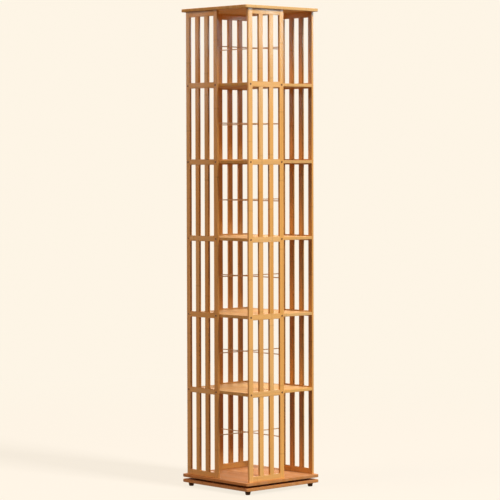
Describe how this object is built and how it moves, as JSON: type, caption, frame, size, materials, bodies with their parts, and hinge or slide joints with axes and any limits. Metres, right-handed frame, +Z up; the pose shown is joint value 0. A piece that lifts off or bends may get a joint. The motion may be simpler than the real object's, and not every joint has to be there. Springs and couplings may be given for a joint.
{
  "type": "revolving bookcase",
  "caption": "Tall square revolving bookcase tower with slatted pinwheel side panels, open book compartments, crossing stop rods and a turntable base on round feet.",
  "frame": {"origin": "on the floor under the turning axis, in the middle of the feet", "axes": "+Z up along the turning axis; the four sides face -Y (front), +X (right), +Y (back) and -X (left)"},
  "size_m": [0.39, 0.39, 1.912],
  "materials": {
    "bamboo_board": "satin clear lacquer",
    "bamboo_stick": "satin clear lacquer",
    "bamboo_rod": "smooth, bare",
    "ring_metal": "satin",
    "foot_rubber": "matt",
    "screw_metal": "dark bronze plating"
  },
  "bodies": {
    "base": {"base_board": "bamboo_board", "feet": "foot_rubber", "bearing_fixed_ring": "ring_metal"},
    "tower": {"bearing_turning_ring": "ring_metal", "bottom_board": "bamboo_board", "shelf_1": "bamboo_board", "shelf_2": "bamboo_board", "shelf_3": "bamboo_board", "shelf_4": "bamboo_board", "shelf_5": "bamboo_board", "top_board": "bamboo_board", "front_corner_stile": "bamboo_stick", "front_middle_stile": "bamboo_stick", "front_rail_1": "bamboo_stick", "front_rail_2": "bamboo_stick", "front_rail_3": "bamboo_stick", "front_rail_4": "bamboo_stick", "front_rail_5": "bamboo_stick", "front_rail_6": "bamboo_stick", "front_rail_7": "bamboo_stick", "front_slats": "bamboo_stick", "right_corner_stile": "bamboo_stick", "right_middle_stile": "bamboo_stick", "right_rail_1": "bamboo_stick", "right_rail_2": "bamboo_stick", "right_rail_3": "bamboo_stick", "right_rail_4": "bamboo_stick", "right_rail_5": "bamboo_stick", "right_rail_6": "bamboo_stick", "right_rail_7": "bamboo_stick", "right_slats": "bamboo_stick", "back_corner_stile": "bamboo_stick", "back_middle_stile": "bamboo_stick", "back_rail_1": "bamboo_stick", "back_rail_2": "bamboo_stick", "back_rail_3": "bamboo_stick", "back_rail_4": "bamboo_stick", "back_rail_5": "bamboo_stick", "back_rail_6": "bamboo_stick", "back_rail_7": "bamboo_stick", "back_slats": "bamboo_stick", "left_corner_stile": "bamboo_stick", "left_middle_stile": "bamboo_stick", "left_rail_1": "bamboo_stick", "left_rail_2": "bamboo_stick", "left_rail_3": "bamboo_stick", "left_rail_4": "bamboo_stick", "left_rail_5": "bamboo_stick", "left_rail_6": "bamboo_stick", "left_rail_7": "bamboo_stick", "left_slats": "bamboo_stick", "stop_rods_1": "bamboo_rod", "stop_rods_2": "bamboo_rod", "stop_rods_3": "bamboo_rod", "stop_rods_4": "bamboo_rod", "stop_rods_5": "bamboo_rod", "stop_rods_6": "bamboo_rod"}
  },
  "joints": [
    {"name": "tower_turn", "type": "hinge", "parent": "base", "child": "tower", "pos_m": [0, 0, 0.0325], "axis": [0, 0, 1], "continuous": true}
  ]
}
